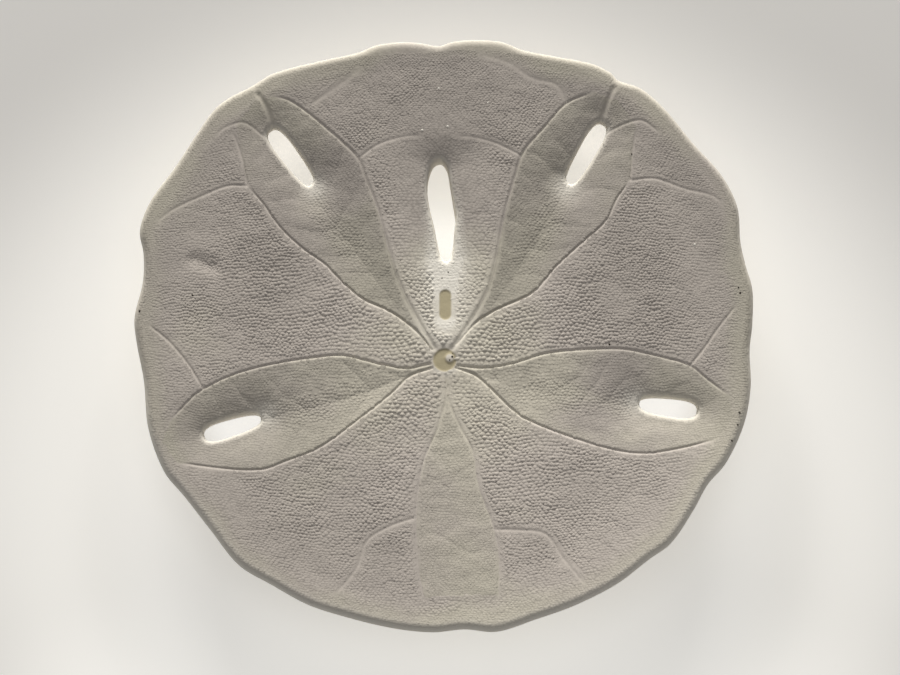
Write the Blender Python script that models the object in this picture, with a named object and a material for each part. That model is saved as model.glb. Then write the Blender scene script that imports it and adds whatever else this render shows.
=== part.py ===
"""Keyhole sand dollar: a clean, bleached test in one piece, lying on its low dome with the mouth side up.

Plan dimensions are millimetres. +X is the animal's left-to-right as seen here, +Y is its back end, where the
long keyhole is, and +Z is up. The origin is on the resting face, under the middle of the disc.
"""

import math

import bmesh
import bpy
import numpy as np
from mathutils.geometry import delaunay_2d_cdt

MM = 0.001

# Heights and thicknesses of the test.
HEIGHT = 12.0  # resting face to the crest of the mouth side
RIM_THICKNESS = 2.8
RIM_ROUND = 1.3  # how far in from the edge the rounding starts
RIM_DROP = 1.25  # how far the rounding falls on each side
DISH_DEPTH = 1.4  # the mouth side is slightly hollow
DISH_RADIUS = 54.0
REST_CENTRE = (0.0, -3.0)  # the dome's flattened top, which is what it rests on
REST_RADIUS = 11.0
DOME_ROUNDING = 1.6
DOME_FLANK = 1.7

# Mesh spacings.
EDGE_SPACING = 2.5
KEYHOLE_SPACING = 1.6
GROOVE_SPACING = 2.2
FILL_SPACING = 3.4
RING_CLEARANCE = 0.2
PIT_CORNERS = 16
REST_CORNERS = 32

# The scalloped margin, clockwise from the nick at the back end.
MARGIN = [
    (-1.1, 52.2), (1.7, 53.0), (6.1, 53.3), (10.6, 52.9), (14.4, 51.4), (20.1, 50.2), (27.0, 48.8),
    (30.6, 47.0), (31.7, 45.7), (35.9, 44.1), (40.1, 40.4), (45.3, 33.8), (50.3, 27.9), (53.0, 22.1),
    (53.4, 15.6), (54.2, 11.4), (55.3, 7.0), (55.1, 0.6), (54.5, -3.9), (54.5, -10.6), (53.1, -17.2),
    (49.8, -23.9), (46.4, -27.8), (43.9, -32.1), (39.8, -37.9), (35.9, -40.7), (30.1, -45.0),
    (22.6, -48.7), (16.0, -51.0), (9.2, -53.1), (3.6, -52.7), (-2.0, -53.2), (-8.9, -52.5),
    (-16.7, -50.7), (-23.7, -48.5), (-29.9, -45.2), (-35.9, -41.7), (-40.9, -35.7), (-45.6, -29.9),
    (-49.4, -25.4), (-52.4, -17.7), (-53.4, -9.4), (-54.9, -2.5), (-55.4, 1.9), (-54.1, 8.3),
    (-54.1, 13.3), (-54.9, 17.8), (-53.1, 23.2), (-48.9, 29.3), (-44.8, 36.0), (-41.9, 40.2),
    (-39.2, 42.4), (-35.1, 44.6), (-31.2, 47.0), (-22.8, 49.3), (-15.8, 50.9), (-12.5, 52.3),
    (-8.1, 52.9), (-4.2, 52.7),
]
MARGIN_STRETCH = (1.001, 1.0095)  # the rim lies lower than the crest, so it is a little larger than it looks

# The long keyhole in line with the vent, and the four paired ones: outer end, inner end, width, and how much
# wider the outer end is than the middle.
LONG_KEYHOLE = [
    (-0.6, 31.5), (0.5, 30.2), (1.0, 27.7), (1.8, 22.9), (2.1, 20.6), (1.8, 17.9), (1.6, 15.3), (1.2, 13.4),
    (0.4, 12.6), (-0.5, 13.3), (-1.2, 15.8), (-1.8, 18.9), (-2.7, 22.7), (-3.1, 25.9), (-2.9, 28.6),
    (-2.0, 30.9),
]
PAIRED_KEYHOLES = [
    ((-31.7, 36.9), (-24.2, 26.9), 3.3, 0.12),
    ((29.0, 38.1), (22.7, 27.1), 3.2, 0.12),
    ((-42.6, -19.3), (-32.7, -15.9), 3.2, 0.10),
    ((45.0, -14.8), (34.8, -13.3), 3.4, 0.08),
]
KEYHOLE_SQUARENESS = 2.9
LIP_ROUND = 0.9
LIP_DROP = 0.8

# Shallow hollows of the mouth side: line of the hollow, depth, and reach to each side.
HOLLOWS = [
    ([(0.1, 7.0), (-0.5, 29.0)], 1.1, 5.0),
    ([(-31.0, 35.6), (-24.6, 27.0)], 0.8, 4.5),
    ([(28.4, 37.2), (23.0, 28.2)], 0.8, 4.5),
    ([(-42.0, -19.5), (-32.8, -16.7)], 0.8, 4.5),
    ([(44.4, -15.4), (34.6, -13.8)], 0.8, 4.5),
    ([(-47.2, 13.3), (-43.0, 12.5)], 0.45, 1.8),
]

# Mouth and vent are shallow blind pits here: in the photo both are filled to near the surface.
MOUTH_CENTRE = (0.1, -5.7)
MOUTH_RADIUS = 2.0
MOUTH_DEPTH = 1.2
VENT_ENDS = ((0.2, 6.2), (0.2, 2.7))
VENT_RADIUS = 1.0
VENT_DEPTH = 1.0
PIT_SLOPE = 0.35

# Food grooves run from the mouth along both sides of each food-gathering field and fork near the margin.
GROOVE_DEPTH = 0.55
GROOVE_REACH = 1.1
BACK_LEFT_INNER = [
    (-1.7, -3.6), (-4.2, 0.6), (-8.0, 8.0), (-10.6, 16.5), (-12.2, 22.4), (-14.0, 27.1), (-15.6, 31.3),
    (-18.1, 34.0), (-22.8, 38.1), (-28.1, 42.0), (-31.4, 42.7),
]
BACK_LEFT_OUTER = [
    (-2.2, -3.8), (-5.3, -0.1), (-10.0, 3.3), (-14.4, 5.3), (-18.1, 8.3), (-21.4, 11.7), (-25.6, 14.7),
    (-29.5, 18.4), (-32.6, 22.7), (-35.6, 26.1),
]
BACK_RIGHT_INNER = [
    (1.4, -3.6), (3.9, 0.0), (7.8, 6.9), (9.4, 12.5), (10.8, 20.4), (12.9, 28.2), (14.3, 32.4),
    (18.3, 37.2), (22.3, 41.6), (27.3, 43.6),
]
BACK_RIGHT_OUTER = [
    (2.2, -2.8), (5.8, 1.2), (9.7, 3.6), (15.8, 6.5), (20.1, 11.3), (25.3, 16.1), (29.1, 19.6),
    (31.4, 24.1), (33.7, 27.1),
]
FRONT_LEFT_UPPER = [
    (-2.5, -6.4), (-6.7, -7.1), (-11.4, -6.4), (-17.8, -4.9), (-24.2, -5.4), (-32.0, -6.8), (-38.1, -8.7),
    (-43.7, -11.7), (-46.2, -14.2), (-48.4, -16.9),
]
FRONT_LEFT_LOWER = [
    (-2.2, -7.1), (-6.1, -8.6), (-9.4, -11.7), (-15.6, -16.7), (-22.0, -21.4), (-28.1, -23.9),
    (-31.9, -25.3), (-37.6, -25.3), (-43.7, -24.6), (-47.0, -24.2),
]
FRONT_RIGHT_UPPER = [
    (2.5, -6.7), (6.7, -7.1), (11.9, -6.4), (18.1, -4.5), (25.3, -3.8), (32.0, -3.8), (38.1, -5.1),
    (43.7, -6.8), (46.4, -9.0), (50.6, -12.5),
]
FRONT_RIGHT_LOWER = [
    (2.2, -7.1), (5.8, -8.6), (11.9, -14.4), (14.7, -16.4), (21.7, -19.3), (29.5, -21.7), (35.3, -22.5),
    (42.6, -21.4), (48.4, -19.9),
]
FRONT_LEFT = [
    (0.3, -8.4), (0.4, -12.0), (-1.1, -17.8), (-3.5, -23.5), (-4.6, -29.3), (-4.9, -33.8), (-4.8, -38.0),
    (-4.3, -43.8), (-3.3, -47.7),
]
FRONT_RIGHT = [
    (0.4, -12.0), (2.2, -16.5), (5.0, -22.1), (6.1, -28.5), (8.3, -34.3), (9.6, -40.4), (9.4, -47.1),
]
FORKS = [
    [(-15.6, 31.3), (-12.2, 33.8), (-7.8, 35.3), (-4.0, 35.7)],
    [(14.0, 31.8), (10.0, 33.9), (5.8, 35.2), (2.2, 35.6)],
    [(-35.6, 26.1), (-39.2, 26.0), (-43.7, 24.1), (-48.7, 21.6), (-51.7, 19.3)],
    [(-35.6, 26.1), (-36.6, 31.0), (-38.1, 35.6)],
    [(33.7, 27.1), (38.1, 27.4), (43.7, 25.4), (48.4, 24.1), (50.0, 22.7)],
    [(33.7, 27.1), (34.1, 31.8), (34.8, 36.1)],
    [(-42.8, -10.9), (-45.3, -6.9), (-48.7, -2.8), (-52.5, 0.4)],
    [(43.8, -6.8), (46.4, -3.6), (48.7, -0.3), (52.0, 3.8)],
    [(-4.9, -33.8), (-9.4, -35.3), (-13.5, -37.9), (-15.3, -42.7), (-18.9, -47.1)],
    [(8.9, -35.9), (13.3, -36.0), (17.8, -36.7), (20.9, -41.0), (24.5, -45.4)],
    [(-32.8, 35.4), (-36.4, 37.8), (-39.8, 36.8), (-41.2, 35.4)],
    [(29.2, 35.9), (32.5, 37.5), (35.9, 38.2), (38.9, 36.0)],
]

# A field lies between two grooves and dips in a low V to its middle line.
FIELD_DIP = 0.7
FIELD_FADE = (40.0, 52.0)
FIELDS = [
    (
        BACK_LEFT_INNER,
        BACK_LEFT_OUTER,
        [(-1.5, -4.2), (-12.0, 8.5), (-17.0, 15.5), (-24.0, 25.0), (-32.0, 41.0)],
    ),
    (
        BACK_RIGHT_INNER,
        BACK_RIGHT_OUTER,
        [(1.5, -4.0), (10.5, 6.5), (16.0, 15.0), (23.0, 28.0), (29.5, 43.0)],
    ),
    (
        FRONT_LEFT_UPPER,
        FRONT_LEFT_LOWER,
        [(-2.4, -6.7), (-14.0, -11.5), (-32.0, -16.2), (-51.0, -20.0)],
    ),
    (
        FRONT_RIGHT_UPPER,
        FRONT_RIGHT_LOWER,
        [(2.4, -6.9), (14.0, -11.0), (34.0, -14.0), (52.5, -16.0)],
    ),
]

# Five petals of breathing pores round the middle of the domed side: where each points, and its length.
PETALS = [
    ((-24.4, 26.6), 32.0), ((22.8, 27.9), 32.0), ((-32.6, -16.6), 29.0), ((34.5, -13.8), 29.0),
    ((0.4, -40.0), 29.0),
]
PETAL_START = 3.6
PETAL_HALF_WIDTH = 4.6
PETAL_DEPTH = 0.5
PETAL_REACH = 1.1
PETAL_STATIONS = 15

COLOUR = (0.56, 0.52, 0.455, 1.0)


def curve_through(points, spacing, closed=False):
    """Evenly spaced points on a smooth curve through hand-placed ones."""
    points = np.array(points, float)
    if closed:
        points = np.vstack([points[-1:], points, points[:2]])
    else:
        points = np.vstack([2 * points[0] - points[1], points, 2 * points[-1] - points[-2]])
    chord = np.concatenate([[0.0], np.cumsum(np.linalg.norm(np.diff(points, axis=0), axis=1))])
    slope = (points[2:] - points[:-2]) / (chord[2:] - chord[:-2])[:, None]
    t = np.linspace(0.0, 1.0, 16, endpoint=False)[:, None]
    fine = []
    for i in range(1, len(points) - 2):
        length = chord[i + 1] - chord[i]
        fine.append(
            (2 * t**3 - 3 * t**2 + 1) * points[i]
            + (t**3 - 2 * t**2 + t) * length * slope[i - 1]
            + (3 * t**2 - 2 * t**3) * points[i + 1]
            + (t**3 - t**2) * length * slope[i]
        )
    fine.append(points[-2][None, :])
    fine = np.vstack(fine)
    along = np.concatenate([[0.0], np.cumsum(np.linalg.norm(np.diff(fine, axis=0), axis=1))])
    count = max(2, round(along[-1] / spacing))
    stations = np.linspace(0.0, along[-1], count + 1)
    if closed:
        stations = stations[:-1]
    return np.column_stack([np.interp(stations, along, fine[:, axis]) for axis in (0, 1)])


def distance_to(points, line, closed=False):
    """How far each point is from the nearest part of a line of straight runs."""
    line = np.array(line, float)
    ends = np.roll(line, -1, axis=0) if closed else line[1:]
    starts = line if closed else line[:-1]
    run = ends - starts
    offset = points[:, None, :] - starts[None, :, :]
    share = np.clip((offset * run).sum(axis=2) / (run**2).sum(axis=1), 0.0, 1.0)
    return np.linalg.norm(offset - share[:, :, None] * run, axis=2).min(axis=1)


def inside(points, loop):
    """Which points a closed loop holds, by counting how often a ray along +X crosses it."""
    after = np.roll(loop, -1, axis=0)
    x, y = points[:, 0:1], points[:, 1:2]
    spans = (loop[:, 1] > y) != (after[:, 1] > y)
    rise = np.where(after[:, 1] == loop[:, 1], 1.0, after[:, 1] - loop[:, 1])
    crossing = loop[:, 0] + (y - loop[:, 1]) / rise * (after[:, 0] - loop[:, 0])
    return (spans & (x < crossing)).sum(axis=1) % 2 == 1


def offset_loop(loop, distance):
    """A loop moved outwards by a distance, or inwards by a negative one."""
    tangent = np.roll(loop, -1, axis=0) - np.roll(loop, 1, axis=0)
    tangent /= np.linalg.norm(tangent, axis=1)[:, None]
    normal = np.column_stack([tangent[:, 1], -tangent[:, 0]])
    x, y = loop.T
    area = (x * np.roll(y, -1) - y * np.roll(x, -1)).sum()
    return loop + normal * distance * (1 if area > 0 else -1)


def slot_loop(outer, inner, width, flare):
    """A rounded slot between two end points."""
    outer, inner = np.array(outer), np.array(inner)
    centre, half = (outer + inner) / 2, (outer - inner) / 2
    side = np.array([-half[1], half[0]]) / np.linalg.norm(half)
    perimeter = 4 * np.linalg.norm(half) + width
    angle = np.linspace(0, 2 * math.pi, round(perimeter / KEYHOLE_SPACING) + 4, endpoint=False)
    along = np.sign(np.cos(angle)) * np.abs(np.cos(angle)) ** (2 / KEYHOLE_SQUARENESS)
    across = np.sign(np.sin(angle)) * np.abs(np.sin(angle)) ** (2 / KEYHOLE_SQUARENESS)
    across *= width / 2 * (1 + flare * along)
    return centre + along[:, None] * half + across[:, None] * side


def rounded_fall(distance, reach, fall):
    """The fall of a quarter-round edge at a distance from it."""
    share = np.clip(1 - distance / reach, 0, 1)
    return fall * (1 - np.sqrt(1 - share**2))


def petal_side(direction, length, side):
    """One bowed side of a petal, from beside the middle of the dome to the petal's tip."""
    start = np.array(REST_CENTRE)
    axis = np.array(direction) - start
    axis /= np.linalg.norm(axis)
    across = np.array([-axis[1], axis[0]]) * side
    share = np.linspace(0, 1, PETAL_STATIONS)
    width = PETAL_HALF_WIDTH * np.sin(math.pi * share**0.8) ** 0.75 * (1 - 0.18 * share) + 0.5 * (1 - share)
    reach = PETAL_START + share * (length - PETAL_START)
    return start + reach[:, None] * axis + width[:, None] * across


margin = curve_through(np.array(MARGIN) * MARGIN_STRETCH, EDGE_SPACING, closed=True)
keyholes = [curve_through(LONG_KEYHOLE, KEYHOLE_SPACING, closed=True)]
keyholes += [slot_loop(*slot) for slot in PAIRED_KEYHOLES]
grooves = [
    curve_through(route, GROOVE_SPACING)
    for route in [
        BACK_LEFT_INNER, BACK_LEFT_OUTER, BACK_RIGHT_INNER, BACK_RIGHT_OUTER, FRONT_LEFT_UPPER,
        FRONT_LEFT_LOWER, FRONT_RIGHT_UPPER, FRONT_RIGHT_LOWER, FRONT_LEFT, FRONT_RIGHT,
    ]
    + FORKS
]
petal_sides = [petal_side(direction, length, side) for direction, length in PETALS for side in (-1, 1)]


def mouth_side_height(points):
    """The upper face: a shallow dish with dipped fields, hollows round the keyholes, grooves and two pits."""
    radius = np.linalg.norm(points, axis=1)
    height = HEIGHT - DISH_DEPTH * np.clip(1 - (radius / DISH_RADIUS) ** 2, 0, 1)
    fade = np.clip((FIELD_FADE[1] - radius) / (FIELD_FADE[1] - FIELD_FADE[0]), 0, 1)
    for one_side, other_side, middle in FIELDS:
        field = np.vstack([one_side, other_side[::-1]])
        to_groove = np.minimum(distance_to(points, one_side), distance_to(points, other_side))
        to_middle = distance_to(points, curve_through(middle, GROOVE_SPACING))
        share = to_groove / np.maximum(to_groove + to_middle, 1e-6)
        height -= FIELD_DIP * fade * share * inside(points, field)
    for line, depth, reach in HOLLOWS:
        height -= depth * np.exp(-((distance_to(points, line) / reach) ** 2))
    groove = np.min([distance_to(points, route) for route in grooves], axis=0)
    height -= GROOVE_DEPTH * np.clip(1 - groove / GROOVE_REACH, 0, 1)
    mouth = MOUTH_RADIUS - np.linalg.norm(points - np.array(MOUTH_CENTRE), axis=1)
    vent = VENT_RADIUS - distance_to(points, VENT_ENDS)
    height -= MOUTH_DEPTH * np.clip(mouth / PIT_SLOPE, 0, 1)
    height -= VENT_DEPTH * np.clip(vent / PIT_SLOPE, 0, 1)
    height -= rounded_fall(distance_to(points, margin, closed=True), RIM_ROUND, RIM_DROP)
    for keyhole in keyholes:
        height -= rounded_fall(distance_to(points, keyhole, closed=True), LIP_ROUND, LIP_DROP)
    return height


def domed_side_height(points):
    """The lower face: a low dome, flat where it rests, with the furrows of five petals."""
    centre = np.array(REST_CENTRE)
    offset = points - centre
    around = margin - centre
    bearing = np.arctan2(around[:, 1], around[:, 0])
    order = np.argsort(bearing)
    reach = np.interp(
        np.arctan2(offset[:, 1], offset[:, 0]),
        bearing[order],
        np.linalg.norm(around, axis=1)[order],
        period=2 * math.pi,
    )
    share = np.clip((np.linalg.norm(offset, axis=1) - REST_RADIUS) / (reach - REST_RADIUS), 0, 1)
    dome = (1 - share**DOME_ROUNDING) ** DOME_FLANK
    height = (HEIGHT - RIM_THICKNESS) * (1 - dome)
    furrow = np.min([distance_to(points, side) for side in petal_sides], axis=0)
    height += PETAL_DEPTH * np.clip(1 - furrow / PETAL_REACH, 0, 1)
    height += rounded_fall(distance_to(points, margin, closed=True), RIM_ROUND, RIM_DROP)
    for keyhole in keyholes:
        height += rounded_fall(distance_to(points, keyhole, closed=True), LIP_ROUND, LIP_DROP)
    return height


def beside(route, reach):
    """Points on both sides of a route."""
    tangent = np.gradient(route, axis=0)
    tangent /= np.linalg.norm(tangent, axis=1)[:, None]
    normal = np.column_stack([tangent[:, 1], -tangent[:, 0]])
    return np.vstack([route + normal * reach, route - normal * reach])


def circle(centre, radius, count):
    angle = np.linspace(0, 2 * math.pi, count, endpoint=False)
    return np.array(centre) + radius * np.column_stack([np.cos(angle), np.sin(angle)])


def vent_loop(radius):
    """The vent's outline, or a loop inside it."""
    (x, top), (_, bottom) = VENT_ENDS
    half_turn = np.linspace(0, math.pi, 7)
    arch = radius * np.column_stack([np.cos(half_turn), np.sin(half_turn)])
    middle = [(x - radius, (top + bottom) / 2), (x + radius, (top + bottom) / 2)]
    return np.vstack([arch + (x, top), middle, (x, bottom) - arch])


def hex_grid(spacing):
    """Evenly spread points over the whole disc's box."""
    low, high = margin.min(axis=0), margin.max(axis=0)
    columns = np.arange(low[0], high[0], spacing)
    rows = np.arange(low[1], high[1], spacing * math.sqrt(0.75))
    x, y = np.meshgrid(columns, rows)
    x[1::2] += spacing / 2
    return np.column_stack([x.ravel(), y.ravel()])


def triangulate(groups):
    """Triangles over the disc less its keyholes. A group is points and their clearance from earlier ones."""
    kept = np.vstack([margin] + keyholes)
    edges = []
    first = 0
    for loop in [margin] + keyholes:
        count = len(loop)
        edges += [(first + i, first + (i + 1) % count) for i in range(count)]
        first += count
    for points, clearance in groups:
        points = points[inside(points, margin)]
        for keyhole in keyholes:
            points = points[~inside(points, keyhole)]
        for point in points:
            if np.linalg.norm(kept - point, axis=1).min() >= clearance:
                kept = np.vstack([kept, point])
    flat, _, faces, _, _, _ = delaunay_2d_cdt([tuple(point) for point in kept], edges, [], 0, 1e-6)
    flat = np.array([tuple(point) for point in flat])
    middles = np.array([flat[list(face)].mean(axis=0) for face in faces])
    wanted = inside(middles, margin)
    for keyhole in keyholes:
        wanted &= ~inside(middles, keyhole)
    return flat, [tuple(face) for face, keep in zip(faces, wanted) if keep]


def edge_rings():
    """Rings of points that round the margin and the lips of the keyholes."""
    rings = [offset_loop(margin, -RIM_ROUND * share) for share in (0.25, 1.0)]
    for keyhole in keyholes:
        rings += [offset_loop(keyhole, LIP_ROUND * share) for share in (0.35, 1.0)]
    return [(ring, RING_CLEARANCE) for ring in rings]


def add_face(mesh, flat, faces, height, upwards):
    """One face of the test as a lifted sheet of triangles. It returns its vertices, in the order of flat."""
    points = [mesh.verts.new((x * MM, y * MM, z * MM)) for (x, y), z in zip(flat, height)]
    for face in faces:
        corners = [points[i] for i in face]
        a, b, c = (corner.co.xy for corner in corners)
        turns_left = (b - a).cross(c - a) > 0
        mesh.faces.new(corners if turns_left == upwards else corners[::-1])
    return points


def add_walls(mesh, upper, lower):
    """The edge of the margin and the walls of the keyholes, between the two sheets."""
    first = 0
    for loop in [margin] + keyholes:
        count = len(loop)
        x, y = loop.T
        outwards = (x * np.roll(y, -1) - y * np.roll(x, -1)).sum() > 0
        if first:
            outwards = not outwards
        for i in range(count):
            here, after = first + i, first + (i + 1) % count
            wall = [upper[here], lower[here], lower[after], upper[after]]
            mesh.faces.new(wall if outwards else wall[::-1])
        first += count


pits = [
    circle(MOUTH_CENTRE, MOUTH_RADIUS, PIT_CORNERS),
    circle(MOUTH_CENTRE, MOUTH_RADIUS - PIT_SLOPE, PIT_CORNERS),
    np.array([MOUTH_CENTRE]),
    vent_loop(VENT_RADIUS),
    vent_loop(VENT_RADIUS - PIT_SLOPE),
]
mouth_side = edge_rings() + [(pit, PIT_SLOPE * 0.8) for pit in pits]
mouth_side += [(route, GROOVE_REACH * 0.8) for route in grooves]
mouth_side += [(beside(route, GROOVE_REACH), GROOVE_REACH * 0.8) for route in grooves]
mouth_side += [(curve_through(middle, FILL_SPACING), FILL_SPACING * 0.4) for _, _, middle in FIELDS]
mouth_side += [(hex_grid(FILL_SPACING), FILL_SPACING * 0.5)]

furrows = [curve_through(side, GROOVE_SPACING) for side in petal_sides]
domed_side = edge_rings() + [(circle(REST_CENTRE, REST_RADIUS, REST_CORNERS), PETAL_REACH * 0.5)]
domed_side += [(furrow, PETAL_REACH * 0.8) for furrow in furrows]
domed_side += [(beside(furrow, PETAL_REACH), PETAL_REACH * 0.8) for furrow in furrows]
domed_side += [(hex_grid(FILL_SPACING), FILL_SPACING * 0.5)]

for leftover in list(bpy.data.objects):
    bpy.data.objects.remove(leftover)

test = bmesh.new()
upper_flat, upper_faces = triangulate(mouth_side)
lower_flat, lower_faces = triangulate(domed_side)
upper = add_face(test, upper_flat, upper_faces, mouth_side_height(upper_flat), True)
lower = add_face(test, lower_flat, lower_faces, domed_side_height(lower_flat), False)
add_walls(test, upper, lower)

mesh = bpy.data.meshes.new("sand_dollar")
test.to_mesh(mesh)
test.free()
mesh.shade_smooth()
sand_dollar = bpy.data.objects.new("sand_dollar", mesh)
bpy.context.scene.collection.objects.link(sand_dollar)

bleached_test = bpy.data.materials.new("bleached_test")
bleached_test.use_nodes = True
shader = bleached_test.node_tree.nodes["Principled BSDF"]
shader.inputs["Base Color"].default_value = COLOUR
shader.inputs["Roughness"].default_value = 0.85
shader.inputs["Metallic"].default_value = 0.0
mesh.materials.append(bleached_test)
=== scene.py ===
"""A bleached keyhole sand dollar, mouth side up, in its own frame: +X across, +Y to its back end, +Z up."""

import math

import bpy
import numpy as np
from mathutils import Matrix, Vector, kdtree, noise
from mathutils.geometry import delaunay_2d_cdt


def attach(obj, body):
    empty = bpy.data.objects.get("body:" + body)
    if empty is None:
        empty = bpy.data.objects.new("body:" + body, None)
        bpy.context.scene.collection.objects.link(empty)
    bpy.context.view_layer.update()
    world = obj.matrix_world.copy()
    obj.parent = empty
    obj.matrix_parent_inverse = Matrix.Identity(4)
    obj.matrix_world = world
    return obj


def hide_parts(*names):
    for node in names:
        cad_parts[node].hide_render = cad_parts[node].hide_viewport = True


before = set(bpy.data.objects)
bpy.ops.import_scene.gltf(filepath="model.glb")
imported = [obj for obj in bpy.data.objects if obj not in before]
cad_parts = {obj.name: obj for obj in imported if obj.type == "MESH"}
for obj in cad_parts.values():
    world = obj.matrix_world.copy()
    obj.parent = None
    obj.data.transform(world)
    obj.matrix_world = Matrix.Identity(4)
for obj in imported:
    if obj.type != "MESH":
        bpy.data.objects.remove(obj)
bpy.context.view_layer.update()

# Camera
# The photograph looks almost square at the mouth side, 10 degrees off it towards the front end, so the camera
# stands high over the front edge and looks down.
MM = 0.001
TILT = math.radians(10.0)
CAMERA_DISTANCE = 330.0
PHOTO_WIDTH = 900
DISC_WIDTH, DISC_WIDTH_PIXELS = 110.0, 618
PHOTO_CENTRE = (1.05, -1.85, 11.6)  # the point of the mouth side at the photograph's centre

camera_data = bpy.data.cameras.new("camera")
camera = bpy.data.objects.new("camera", camera_data)
bpy.context.scene.collection.objects.link(camera)
camera_data.sensor_width = 36.0
focal_pixels = CAMERA_DISTANCE * DISC_WIDTH_PIXELS / DISC_WIDTH
camera_data.lens = camera_data.sensor_width * focal_pixels / PHOTO_WIDTH
camera_data.clip_start = 0.01
back = Vector((0.0, -math.sin(TILT), math.cos(TILT)))
camera.location = (Vector(PHOTO_CENTRE) + CAMERA_DISTANCE * back) * MM
camera.rotation_euler = (TILT, 0.0, 0.0)
bpy.context.scene.camera = camera
bpy.context.scene.view_settings.view_transform = "Standard"


# Floor and light
# A pale table with a painted glow, brighter under and round the disc and in its own shadow in front. It
# stands in for light from behind and makes the keyholes white. One wide lamp low beyond the back end rakes
# across the mouth side, and a soft box hangs over it.
class Socket:
    """One output in a material, so that shader maths is written as plain expressions."""

    def __init__(self, tree, output):
        self.tree = tree
        self.output = output

    def node(self, kind, settings=None, values=None, output=0):
        """Any node: its type, its settings, the values or links of its sockets, and which output is meant."""
        made = self.tree.nodes.new(kind)
        for name, setting in (settings or {}).items():
            setattr(made, name, setting)
        for name, value in (values or {}).items():
            if isinstance(value, Socket):
                self.tree.links.new(value.output, made.inputs[name])
            else:
                made.inputs[name].default_value = value
        return Socket(self.tree, made.outputs[output])

    def maths(self, operation, first, second):
        return self.node("ShaderNodeMath", {"operation": operation}, {0: first, 1: second})

    def __add__(self, other):
        return self.maths("ADD", self, other)

    def __sub__(self, other):
        return self.maths("SUBTRACT", self, other)

    def __rsub__(self, other):
        return self.maths("SUBTRACT", other, self)

    def __mul__(self, other):
        return self.maths("MULTIPLY", self, other)

    __radd__ = __add__

    def mixed(self, first, second):
        """A colour between two, by this factor."""
        settings = {"data_type": "RGBA", "clamp_factor": True}
        return self.node("ShaderNodeMix", settings, {0: self, 6: first, 7: second}, 2)

    def ramp(self, low, high, floor=0.0, top=1.0):
        """One value at low and below, another at high and above, smooth between."""
        values = {"Value": self, "From Min": low, "From Max": high, "To Min": floor, "To Max": top}
        return self.node("ShaderNodeMapRange", {"interpolation_type": "SMOOTHSTEP"}, values)

    def scaled(self, factor):
        """A colour made brighter or darker by a number."""
        values = {0: self, "Scale": factor}
        return self.node("ShaderNodeVectorMath", {"operation": "SCALE"}, values)

    def painted(self, name):
        """A number that the mesh carries at each point."""
        return self.node("ShaderNodeAttribute", {"attribute_name": name}, output=2)


def new_material(name):
    """A material, its Principled BSDF and a Socket on its Object coordinates."""
    material = bpy.data.materials.new(name)
    material.use_nodes = True
    tree = material.node_tree
    coordinates = tree.nodes.new("ShaderNodeTexCoord")
    return material, tree.nodes["Principled BSDF"], Socket(tree, coordinates.outputs["Object"])


def feed(shader, name, value):
    value.tree.links.new(value.output, shader.inputs[name])


def area_lamp(name, place, size, watts, colour):
    """A rectangular lamp that aims at the middle of the disc."""
    lamp_data = bpy.data.lights.new(name, "AREA")
    lamp_data.shape = "RECTANGLE"
    lamp_data.size, lamp_data.size_y = size
    lamp_data.energy = watts
    lamp_data.color = colour
    lamp = bpy.data.objects.new(name, lamp_data)
    bpy.context.scene.collection.objects.link(lamp)
    lamp.location = place
    lamp.rotation_euler = (-Vector(place)).to_track_quat("-Z", "Y").to_euler()


FLOOR_HALF = 3.0
GLOW_FRONT_KEYHOLES, GLOW_MIDDLE = (0.57, 0.575, 0.57, 1.0), (0.50, 0.50, 0.49, 1.0)
GLOW_BACK_KEYHOLES = (0.14, 0.145, 0.14, 1.0)
GLOW_AROUND, GLOW_SHADOW = (0.30, 0.295, 0.275, 1.0), (0.39, 0.385, 0.365, 1.0)
GLOW_FRONT, GLOW_FAR = (0.49, 0.485, 0.46, 1.0), (0.0, 0.0, 0.0, 1.0)
# Each oval of the glow: its stretch along X and Y, its middle along Y, and between which metres it fades.
AROUND_OVAL = ((1.0, 1.15), -0.026, (0.070, 0.120))
SHADOW_OVAL = ((1.0, 1.0), -0.030, (0.052, 0.066))
FRONT_OVAL = ((0.35, 1.0), -0.070, (0.010, 0.034))
UNDER_OVAL = ((1.0, 1.15), 0.0, (0.044, 0.052))
FRONT_TO_MIDDLE, MIDDLE_TO_BACK = (-0.012, 0.006), (0.017, 0.030)
floor_mesh = bpy.data.meshes.new("floor")
floor_corners = [(x * FLOOR_HALF, y * FLOOR_HALF, 0) for x, y in ((-1, -1), (1, -1), (1, 1), (-1, 1))]
floor_mesh.from_pydata(floor_corners, [], [(0, 1, 2, 3)])
floor = bpy.data.objects.new("floor", floor_mesh)
bpy.context.scene.collection.objects.link(floor)
pale, pale_shader, floor_place = new_material("pale_table")


def outside_oval(stretch, middle, fade):
    """0 on the table inside an oval, 1 outside it, smooth between."""
    place = {0: floor_place, 1: (0.0, middle, 0.0)}
    place = floor_place.node("ShaderNodeVectorMath", {"operation": "SUBTRACT"}, place)
    place = place.node("ShaderNodeVectorMath", {"operation": "MULTIPLY"}, {0: place, 1: (*stretch, 1.0)})
    return place.node("ShaderNodeVectorMath", {"operation": "LENGTH"}, {0: place}, 1).ramp(*fade)


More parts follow.
